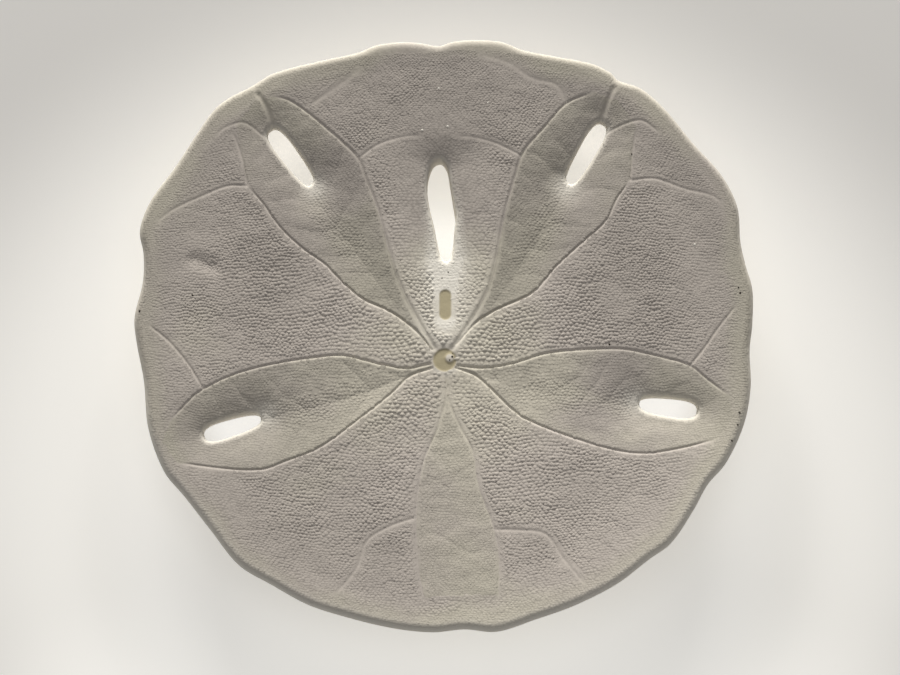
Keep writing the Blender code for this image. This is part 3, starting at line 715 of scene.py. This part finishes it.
def sheet(groups):
    """Fine triangles over the outline. Each group is points and how clear they stay of the earlier groups."""
    rings = [offset_loop(margin, -RIM_ROUND * share) for share in EDGE_RINGS]
    rings += [offset_loop(hole, LIP_ROUND * share) for hole in keyholes for share in LIP_RINGS]
    loops = [margin] + keyholes
    kept = np.vstack(loops)
    edges, first = [], 0
    for loop in loops:
        edges += [(first + i, first + (i + 1) % len(loop)) for i in range(len(loop))]
        first += len(loop)
    for points, clearance in [(np.vstack(rings), 0.05)] + groups:
        points = thinned(on_the_test(points), min(clearance, FINE_SPACING * 0.5))
        kept = np.vstack([kept, clear_of(points, kept, clearance)])
    flat, _, faces, _, _, _ = delaunay_2d_cdt(kept.tolist(), edges, [], 0, 1e-7)
    flat, faces = np.array([tuple(point) for point in flat]), np.array([tuple(face) for face in faces])
    middles = flat[faces].mean(axis=1)
    wanted = inside(middles, margin)
    for keyhole in keyholes:
        wanted &= ~inside(middles, keyhole)
    faces = faces[wanted]
    a, b, c = (flat[faces[:, corner]] for corner in range(3))
    turn = (b[:, 0] - a[:, 0]) * (c[:, 1] - a[:, 1]) - (b[:, 1] - a[:, 1]) * (c[:, 0] - a[:, 0])
    faces[turn < 0] = faces[turn < 0][:, ::-1]
    return flat, faces


LOW, HIGH = margin.min(axis=0), margin.max(axis=0)
mouth_fill = grid(FINE_SPACING, np.array(MOUTH_CENTRE) - MOUTH_FILL, np.array(MOUTH_CENTRE) + MOUTH_FILL)
vent_fill = grid(FINE_SPACING, *VENT_BOX)
across_groove = (0.0, 0.13, -0.13, 0.27, -0.27, 0.43, -0.43, 0.62, -0.62, 0.85, -0.85)
groove_lines = [beside(route, distance) for distance in across_groove for route, _, _ in grooves]
upper_flat, upper_faces = sheet([
    (np.vstack([mouth_fill, vent_fill]), FINE_SPACING * 0.8),
    (np.vstack(groove_lines), FINE_SPACING * 0.5),
    (grid(UPPER_SPACING, LOW, HIGH), UPPER_SPACING * 0.6),
])
across_petal = np.arange(-1.32, 1.33, FINE_SPACING)
furrow_sides = [curve_through(side[::3], FINE_SPACING) for side in petal_sides]
furrow_lines = [beside(side, distance) for distance in across_petal for side in furrow_sides]
sieve_fill = grid(FINE_SPACING, np.array(REST_CENTRE) - SIEVE_FILL, np.array(REST_CENTRE) + SIEVE_FILL)
lower_flat, lower_faces = sheet([
    (np.vstack([sieve_fill] + furrow_lines), FINE_SPACING * 0.8),
    (grid(LOWER_SPACING, LOW, HIGH), LOWER_SPACING * 0.6),
])
upper_points = np.column_stack([upper_flat, mouth_side_height(upper_flat)])
lower_points = np.column_stack([lower_flat, domed_side_height(lower_flat)])
walls, first, under = [], 0, len(upper_points)
for loop in [margin] + keyholes:
    ring = np.arange(first, first + len(loop))
    after = np.roll(ring, -1)
    x, y = loop.T
    outwards = ((x * np.roll(y, -1) - y * np.roll(x, -1)).sum() > 0) == (first == 0)
    corners = np.column_stack([ring, ring + under, after + under, after])
    walls.append(corners if outwards else corners[:, ::-1])
    first += len(loop)
points = np.vstack([upper_points, lower_points]) * MM
faces = upper_faces.tolist() + (lower_faces[:, ::-1] + under).tolist() + np.vstack(walls).tolist()
test_mesh = bpy.data.meshes.new("test")
test_mesh.from_pydata(points.tolist(), [], faces)
test_mesh.shade_smooth()
test = bpy.data.objects.new("test", test_mesh)
bpy.context.scene.collection.objects.link(test)


def paint(mesh, name, values):
    """A number for each point of a mesh, which its material reads by name."""
    layer = mesh.attributes.new(name, "FLOAT", "POINT")
    layer.data.foreach_set("value", np.asarray(values, np.float32))


# Each pale line: its points, how white it is, and how far the white reaches. They are the bridge and the
# lower lips of vent and mouth, painted light where they bend into the holes, and a paler area round the vent.
PALE_AND_LIT_LINES = [
    ([(0.1, 7.9), (0.1, 12.5)], 1.5, 2.0),
    ([(-0.7, 1.3), (0.2, 0.7), (1.1, 1.3)], 1.0, 0.8),
    ([(-1.4, -7.6), (0.1, -8.2), (1.6, -7.6)], 0.4, 0.55),
    ([(0.2, 1.0), (0.2, 9.0)], 0.6, 4.6),
]


def pale_and_lit_share(flat):
    """How pale the surface is painted: along the pale lines, and as painted light on the keyholes' lips and
    at the margin.
    """
    pale_and_lit = sum(white * fading(nearest(flat, line)[0], reach) for line, white, reach in PALE_AND_LIT_LINES)
    gap = keyhole_distance(flat)
    long_reach = 1.2 + 1.5 * smooth(flat[:, 1], 20.0, 11.0)
    pale_and_lit += fading(gap[0], long_reach) * smooth(flat[:, 1], 28.0, 14.0)
    for _, inner, _, _ in PAIRED_KEYHOLES:
        pale_and_lit += 0.55 * fading(gap_to(flat, np.array(inner) * 0.97), 2.2)
    pale_and_lit += 0.6 * fading(gap.min(axis=0), 0.6)
    front = smooth(flat[:, 1], 0.0, -30.0)
    pale_and_lit += (0.45 + 0.4 * front) * fading(margin_distance(flat), 0.5 + 0.6 * front)
    return np.clip(pale_and_lit, 0, 1)


def mauve(flat):
    """The cooler, darker patches of the plates, partly painted shade, 1 in the middle of a patch."""
    shares = [(flat - np.array(middle)) / reach for middle, reach in MAUVE_PATCHES]
    return np.max([np.exp(-(share**2).sum(axis=1)) for share in shares], axis=0)


# Beside each of these the knobs set in from the first distance to the second.
BARE_GROOVE, BARE_MARGIN, BARE_KEYHOLE = (0.25, 0.95), (2.2, 3.4), (1.0, 2.0)
BARE_BRIDGE, BARE_MOUTH = (1.9, 2.6), (2.05, 2.25)
BRIDGE = [(0.2, 1.2), (0.3, 12.0)]


def knobbed(flat):
    """Where the plates between the fields carry their crowd of tubercles, 0 to 1."""
    mask = field_masks(flat)[0]
    radius = np.linalg.norm(flat, axis=1)
    for _, _, middle, _, _ in FIELDS:
        ridge = smooth(nearest(flat, curve_through(middle, 1.0))[0], RIDGE_KNOBS, 0.3 * RIDGE_KNOBS)
        mask -= 0.5 * mask * ridge * smooth(radius, 14.0, 20.0) * smooth(radius, 42.0, 34.0)
    open_gap = smooth(groove_nearness(flat)[1], *BARE_GROOVE)
    rim_gap = smooth(margin_distance(flat), *BARE_MARGIN)
    gap = keyhole_distance(flat)
    gap[0] -= 1.2 * smooth(flat[:, 1], 22.0, 14.0)
    hole_gap = smooth(gap.min(axis=0), *BARE_KEYHOLE)
    bridge_gap = smooth(nearest(flat, BRIDGE)[0], *BARE_BRIDGE)
    mouth_gap = smooth(gap_to(flat, MOUTH_CENTRE), *BARE_MOUTH)
    return (1 - mask) * open_gap * rim_gap * hole_gap * bridge_gap * mouth_gap


mouth_gap = gap_to(upper_flat, MOUTH_CENTRE) - MOUTH_RADIUS
vent_gap = nearest(upper_flat, VENT_ENDS)[0] - VENT_RADIUS
lump_gap = gap_to(upper_flat, LUMP_CENTRE)
in_lump = smooth(lump_gap, LUMP_RADIUS, 0.6 * LUMP_RADIUS)
# The mouth and vent are painted olive, the tone of what fills them and of the light that shines through the
# thin test there; the pore rows and pores of the domed side take the same olive as painted shade in their
# holes.
in_pit = smooth(np.minimum(mouth_gap, vent_gap), 0.22, -0.10) * (1 - in_lump)
pores = np.maximum(smooth(pore_rows(lower_flat), 0.5, 1.0) * 0.8, egg_pores(lower_flat))
# Painted light on the domed side: the keyholes' walls, and the front edge, which stands in shade, are painted
# pale.
lit_keyhole_walls = 0.7 * fading(keyhole_distance(lower_flat).min(axis=0), 0.6)
lit_front_edge = fading(margin_distance(lower_flat), 0.9) * smooth(lower_flat[:, 1], 0.0, -25.0)
# Darker along the mouth's upper edge, and painted shade in the vent; both take the dark colour of the dirt
# specks.
OVER_MOUTH = [(-1.9, -4.7), (-1.2, -3.9), (0.1, -3.5), (1.4, -3.9), (2.0, -4.6)]
dirt_and_shade = 0.28 * fading(nearest(upper_flat, OVER_MOUTH)[0], 0.45)
dirt_and_shade = np.maximum(dirt_and_shade, 0.10 * smooth(vent_gap, 0.2, -0.1))
none = np.zeros(len(lower_flat))
# What the material reads at each point of the mouth side and of the domed side.
for label, upper_values, lower_values in (
    ("field", field_masks(upper_flat)[0], none),
    ("pit", in_pit, pores),
    # Painted shade and dirt on the base between the knobs, more where they crowd.
    ("sheltered", 0.25 + 0.75 * knobbed(upper_flat), none + 0.5),
    ("from_margin", margin_distance(upper_flat), margin_distance(lower_flat)),
    ("mauve", mauve(upper_flat), none),
    ("pale_and_lit", np.maximum(pale_and_lit_share(upper_flat), 0.35 * in_lump), np.maximum(lit_keyhole_walls, lit_front_edge)),
    ("dirt_and_shade", dirt_and_shade, none),
):
    paint(test_mesh, label, np.concatenate([upper_values, lower_values]))

MAUVE_GREY, WARM_GREY = (0.525, 0.478, 0.430, 1.0), (0.570, 0.533, 0.447, 1.0)
PALE_AND_LIT_WHITE, PIT_OLIVE, DIRT_AND_SHADE_DARK = (0.88, 0.845, 0.76, 1.0), (0.515, 0.455, 0.300, 1.0), (0.045, 0.036, 0.028, 1.0)
CLOUDS_PER_METRE, GRAINS_PER_METRE = 60.0, 2200.0


def stereom(name):
    """Dry bleached calcite, dull and finely porous: mauve-grey, warmer in the fields and at the margin."""
    material, shader, place = new_material(name)
    field, from_margin = place.painted("field"), place.painted("from_margin")
    patch = place.painted("mauve")
    clouds = {"Vector": place, "Scale": CLOUDS_PER_METRE, "Detail": 3.0}
    clouds = place.node("ShaderNodeTexNoise", None, clouds)
    grain = {"Vector": place, "Scale": GRAINS_PER_METRE, "Detail": 2.0}
    grain = place.node("ShaderNodeTexNoise", None, grain)
    outwards = place.node("ShaderNodeVectorMath", {"operation": "LENGTH"}, {0: place}, 1)
    across = place.node("ShaderNodeSeparateXYZ", None, {0: place}, 0)
    along = place.node("ShaderNodeSeparateXYZ", None, {0: place}, 1)
    warmth = field * 0.5 + from_margin.ramp(6.0, 1.5) * 0.6
    warmth = warmth + outwards.ramp(0.034, 0.012) * 0.7 + (clouds - 0.5) * 2.0 - patch * 0.8
    colour = warmth.ramp(0.0, 0.9).mixed(MAUVE_GREY, WARM_GREY)
    # Painted light and shade over the plates' own tone: lighter towards the front and the mouth and, in the
    # front half, towards the right; painted shade and dirt between the knobs; painted shade in the fields,
    # most in the back fields near the mouth, at the left and right margins, and partly in the mauve patches.
    shade = along.ramp(0.040, -0.045, 1.01, 1.15) * (1.0 - place.painted("sheltered").ramp(0.3, 1.0) * 0.16)
    shade = shade * (1.0 + across.ramp(-0.038, 0.038, -0.11, 0.11) * along.ramp(-0.004, -0.020))
    shade = shade * outwards.ramp(0.040, 0.014, 0.95, 1.10) * (1.02 - patch * 0.10)
    shade = shade * (1.0 - field * outwards.ramp(0.024, 0.008, 0.0, 0.14))
    back_field_shade = along.ramp(-0.004, 0.008) * outwards.ramp(0.046, 0.018, -0.02, 0.17)
    shade = shade * (1.0 - field * (back_field_shade + along.ramp(-0.030, -0.012, 0.05, 0.09)))
    sides = along.ramp(-0.028, -0.004) * along.ramp(0.045, 0.035)
    shade = shade * (1.0 - from_margin.ramp(9.0, 2.0) * sides * 0.08)
    colour = colour.scaled(shade * (1.0 + (grain - 0.5) * 0.35))
    # Near-white: painted light on lips, edges and the bridge, and the pale lump and white crumbs.
    colour = place.painted("pale_and_lit").mixed(colour, PALE_AND_LIT_WHITE)
    colour = place.painted("pit").mixed(colour, PIT_OLIVE)
    # Dark: the dirt specks, painted shade in the vent, and a band along the mouth's upper edge.
    colour = place.painted("dirt_and_shade").mixed(colour, DIRT_AND_SHADE_DARK)
    feed(shader, "Base Color", colour)
    shader.inputs["Roughness"].default_value = 0.8
    shader.inputs["Specular IOR Level"].default_value = 0.2
    bump = {"Height": grain, "Strength": 0.3, "Distance": 0.0001}
    feed(shader, "Normal", place.node("ShaderNodeBump", None, bump))
    return material


stereom_material = stereom("bleached_calcite")
test_mesh.materials.append(stereom_material)
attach(test, "root")
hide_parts("sand_dollar")

# Tubercles of the mouth side
# Between the fields the plates are crowded with low knobs, which carried the spines. They are fused to the
# plates, almost touch each other in wavy rows, and grow smaller towards the margin.
ROW_PITCH = (0.90, 0.69)
ROWS_REACH = 84.0
SHRINK_OUTWARDS = 0.0056
ALONG_ROW = 1.18  # how much longer a knob is along its row than across
KNOB_WIDTH, KNOB_HEIGHT = 0.60, 0.185


def wavy_rows(pitch, uneven, seed):
    """Places on the test in wavy rows about the mouth that draw together outwards, and the pitch at each."""
    chance = np.random.default_rng(seed)
    x, y = np.meshgrid(*[np.arange(-ROWS_REACH, ROWS_REACH, step) for step in pitch])
    x[1::2] += pitch[0] / 2
    spots = np.column_stack([x.ravel(), y.ravel()])
    spots[:, 1] += 0.75 * waves(spots, 5.0, seed) + 1.6 * waves(spots, 17.0, seed + 0.5)
    spots[:, 1] += 0.34 * waves(spots, 2.4, seed + 0.9)
    spots[:, 0] += 0.9 * waves(spots, 6.0, seed + 0.7)
    spots += chance.normal(0, uneven, spots.shape) * np.array(pitch)
    closer = 1 / (1 + SHRINK_OUTWARDS * np.linalg.norm(spots, axis=1))
    kept = on_the_test(spots * closer[:, None] + np.array(MOUTH_CENTRE), closer)
    return kept[:, :2], kept[:, 2]


def off_the_edges(spots):
    """Which places stand clear of the margin and of the keyholes."""
    return (margin_distance(spots) > 0.8) & (keyhole_distance(spots).min(axis=0) > 0.6)


def slope_normals(flat, height):
    """Upward normals of a face of the test."""
    step = 0.15
    across = (height(flat + (step, 0)) - height(flat - (step, 0))) / (2 * step)
    along = (height(flat + (0, step)) - height(flat - (0, step))) / (2 * step)
    normal = np.column_stack([-across, -along, np.ones(len(flat))])
    return normal / np.linalg.norm(normal, axis=1)[:, None]


def knob_tree(name, sides, rings):
    """Geometry nodes that set a low round knob on each point, with the point's own slope, turn and size."""
    tree = bpy.data.node_groups.new(name, "GeometryNodeTree")
    tree.interface.new_socket("Geometry", in_out="INPUT", socket_type="NodeSocketGeometry")
    inputs = {}
    for label, kind in (("Knob Width", "Float"), ("Knob Height", "Float"), ("Finish", "Material")):
        socket = tree.interface.new_socket(label, in_out="INPUT", socket_type="NodeSocket" + kind)
        inputs[label] = socket.identifier
    tree.interface.new_socket("Geometry", in_out="OUTPUT", socket_type="NodeSocketGeometry")

    def add(kind, links=None, **settings):
        made = tree.nodes.new(kind)
        for setting, value in settings.items():
            setattr(made, setting, value)
        for socket, value in (links or {}).items():
            if isinstance(value, bpy.types.NodeSocket):
                tree.links.new(value, made.inputs[socket])
            else:
                made.inputs[socket].default_value = value
        return made

    def carried(label, kind):
        return add("GeometryNodeInputNamedAttribute", {"Name": label}, data_type=kind).outputs[0]

    given = add("NodeGroupInput").outputs
    shape = {"Vertices": sides, "Side Segments": rings, "Radius Top": 0.0, "Radius Bottom": 1.0, "Depth": 1.0}
    cone = add("GeometryNodeMeshCone", shape, fill_type="NONE").outputs["Mesh"]
    spot = add("ShaderNodeSeparateXYZ", {0: add("GeometryNodeInputPosition").outputs[0]}).outputs
    flat_spot = add("ShaderNodeCombineXYZ", {"X": spot[0], "Y": spot[1]}).outputs[0]
    outwards = add("ShaderNodeVectorMath", {0: flat_spot, 1: flat_spot}, operation="DOT_PRODUCT")
    outwards = outwards.outputs["Value"]
    rise = add("ShaderNodeMath", {0: 1.0, 1: outwards}, operation="SUBTRACT").outputs[0]
    domed = add("ShaderNodeCombineXYZ", {"X": spot[0], "Y": spot[1], "Z": rise}).outputs[0]
    # Each knob's share out from its crown, which the material darkens towards the foot as painted shade and
    # dirt.
    marked = {"Geometry": cone, "Name": "sheltered", "Value": outwards}
    marked = add("GeometryNodeStoreNamedAttribute", marked).outputs[0]
    knob = add("GeometryNodeSetPosition", {"Geometry": marked, "Position": domed}).outputs[0]
    smooth_knob = add("GeometryNodeSetShadeSmooth", {"Geometry": knob}).outputs[0]
    upright = {"Vector": carried("normal_up", "FLOAT_VECTOR")}
    upright = add("FunctionNodeAlignRotationToVector", upright, axis="Z").outputs[0]
    spin = add("FunctionNodeAxisAngleToRotation", {"Angle": carried("spin", "FLOAT")}).outputs[0]
    turn = add("FunctionNodeRotateRotation", {0: upright, 1: spin}, rotation_space="LOCAL").outputs[0]
    form = {"X": given["Knob Width"], "Y": given["Knob Width"], "Z": given["Knob Height"]}
    form = add("ShaderNodeCombineXYZ", form).outputs[0]
    size = {0: carried("knob_size", "FLOAT_VECTOR"), 1: form}
    size = add("ShaderNodeVectorMath", size, operation="MULTIPLY").outputs[0]
    placed = {"Points": given["Geometry"], "Instance": smooth_knob, "Rotation": turn, "Scale": size}
    placed = add("GeometryNodeInstanceOnPoints", placed).outputs[0]
    real = add("GeometryNodeRealizeInstances", {"Geometry": placed}).outputs[0]
    finished = add("GeometryNodeSetMaterial", {"Geometry": real, "Material": given["Finish"]}).outputs[0]
    add("NodeGroupOutput", {0: finished})
    return tree, inputs


def knobs(name, nodes, flat, height, sizes, width, tall, seed, side=1):
    """One mesh of all the knobs at some places on a face of the test: side 1 up, side -1 down."""
    tree, inputs = nodes
    chance = np.random.default_rng(seed)
    seeds = bpy.data.meshes.new(name)
    seeds.from_pydata((np.column_stack([flat, height(flat)]) * MM).tolist(), [], [])
    for label, values in (("normal_up", side * slope_normals(flat, height)), ("knob_size", sizes)):
        layer = seeds.attributes.new(label, "FLOAT_VECTOR", "POINT")
        layer.data.foreach_set("vector", np.asarray(values, np.float32).ravel())
    paint(seeds, "spin", chance.normal(0, 0.22, len(flat)))
    if side > 0:
        paint(seeds, "field", field_masks(flat)[0])
        paint(seeds, "pale_and_lit", pale_and_lit_share(flat))
        paint(seeds, "mauve", mauve(flat))
    paint(seeds, "from_margin", margin_distance(flat))
    piece = bpy.data.objects.new(name, seeds)
    bpy.context.scene.collection.objects.link(piece)
    modifier = piece.modifiers.new("knobs", "NODES")
    modifier.node_group = tree
    modifier[inputs["Knob Width"]] = width * MM
    modifier[inputs["Knob Height"]] = tall * MM
    modifier[inputs["Finish"]] = stereom_material
    bpy.context.view_layer.update()
    solid = bpy.data.meshes.new_from_object(piece.evaluated_get(bpy.context.evaluated_depsgraph_get()))
    piece.modifiers.clear()
    piece.data = solid
    bpy.data.meshes.remove(seeds)
    solid.name = name
    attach(piece, "root")
    return piece


large_knob = knob_tree("large_knob", 8, 1)
spots, closer = wavy_rows(ROW_PITCH, 0.15, 11)
room = knobbed(spots)
kept = room > 0.3
spots, closer, room = spots[kept], closer[kept], room[kept]
chance = np.random.default_rng(5)
spread = chance.normal(1.0, 0.12, (len(spots), 3))
# Knobs are lower towards the margin, at their crowd's edge and beside the long keyhole, higher by the vent.
spread[:, 2] *= 0.9 + 0.45 * waves(spots, 7.0, 8.8)
spread[:, 2] *= 0.6 + 0.4 * smooth(margin_distance(spots), 3.0, 17.0)
spread[:, 2] *= 0.55 + 0.5 * room
beside_long = nearest(spots, [(-0.6, 18.0), (-0.6, 31.0)])[0]
spread[:, 2] *= 1 - 0.72 * np.exp(-((beside_long / 10.0) ** 4))
spread[:, 2] *= 1 + 0.8 * fading(nearest(spots, [(0.2, 0.5), (0.2, 9.0)])[0], 5.0)
sizes = spread * closer[:, None] * np.array([ROW_PITCH[0] * ALONG_ROW, ROW_PITCH[1], 1.0])
sizes *= (0.6 + 0.4 * room)[:, None]
knobs("tubercles", large_knob, spots, mouth_side_height, sizes, KNOB_WIDTH, KNOB_HEIGHT, 5)

# Fine grains of the mouth side
# The fields, the strips along the grooves and the margin carry only tiny secondary knobs. They are fused to
# the plates and look like fine sandpaper.
GRAIN_PITCH = (0.80, 0.62)
GRAIN_WIDTH, GRAIN_HEIGHT = 0.54, 0.065
fine_knob = knob_tree("fine_knob", 6, 1)
spots, closer = wavy_rows(GRAIN_PITCH, 0.12, 23)
bare = knobbed(spots) < 0.3
bare &= groove_nearness(spots)[1] > 0.08
bare &= off_the_edges(spots)
bare &= gap_to(spots, MOUTH_CENTRE) > MOUTH_RADIUS + 0.5
bare &= nearest(spots, VENT_ENDS)[0] > VENT_RADIUS + 0.5
spots, closer = spots[bare], closer[bare]
grain_form = np.array([GRAIN_PITCH[0] * ALONG_ROW, GRAIN_PITCH[1], 1.0])
sizes = chance.normal(1.0, 0.2, (len(spots), 3)) * closer[:, None] * grain_form
knobs("fine_grains", fine_knob, spots, mouth_side_height, sizes, GRAIN_WIDTH, GRAIN_HEIGHT, 7)

# Specks
# A few dark crumbs of dirt and white crumbs of lime still stick to the mouth side. Each is one low knob.
# Each speck: its place along X and Y, and its radius.
DARK_SPECKS = [
    (-45.0, 5.9, 0.30), (-54.3, 2.9, 0.25), (29.5, -2.9, 0.22), (52.9, 6.2, 0.25), (52.6, 7.2, 0.20),
    (52.2, -15.4, 0.25), (51.8, -17.5, 0.22), (50.7, -20.4, 0.22), (34.0, 32.0, 0.18), (0.75, 10.5, 0.17),
    (-0.4, 9.4, 0.17), (1.45, -5.1, 0.20), (1.5, -4.5, 0.15), (1.0, -5.7, 0.15),
]
WHITE_SPECKS = [
    (45.0, 15.2, 0.30), (19.2, 4.3, 0.25), (8.0, 41.7, 0.25), (-1.0, 44.4, 0.25), (-4.0, 36.6, 0.25),
    (0.6, 37.3, 0.25),
]
SPECK_HEIGHT = 0.55  # as a share of its radius
crumbs = np.array(DARK_SPECKS + WHITE_SPECKS)
sizes = crumbs[:, 2:] * np.ones(3)
specks = knobs("specks", fine_knob, crumbs[:, :2], mouth_side_height, sizes, 1.0, SPECK_HEIGHT, 9)
dark = np.array([1.0] * len(DARK_SPECKS) + [0.0] * len(WHITE_SPECKS))
each = len(specks.data.vertices) // len(crumbs)
paint(specks.data, "dirt_and_shade", np.repeat(dark, each))
specks.data.attributes["pale_and_lit"].data.foreach_set("value", np.repeat(1.0 - dark, each))

# Tubercles of the domed side
# The dome carries finer and more even knobs than the mouth side, fused to the plates. None stand in the rows
# of pores, on the sieve plate or in the pores beside it.
DOME_PITCH, DOME_KNOB_FORM = (0.98, 0.82), np.array([0.90, 0.80, 1.0])
UNDER_WIDTH, UNDER_HEIGHT = 0.50, 0.055
spots, closer = wavy_rows(DOME_PITCH, 0.14, 31)
clear = pore_rows(spots) + sieve_plate(spots) + egg_pores(spots) < 0.002
clear &= off_the_edges(spots)
spots, closer = spots[clear], closer[clear]
spread = chance.normal(1.0, 0.12, (len(spots), 3)).clip(0.7, 1.15)
sizes = spread * closer[:, None] * DOME_KNOB_FORM
knobs("under_tubercles", fine_knob, spots, domed_side_height, sizes, UNDER_WIDTH, UNDER_HEIGHT, 13, -1)
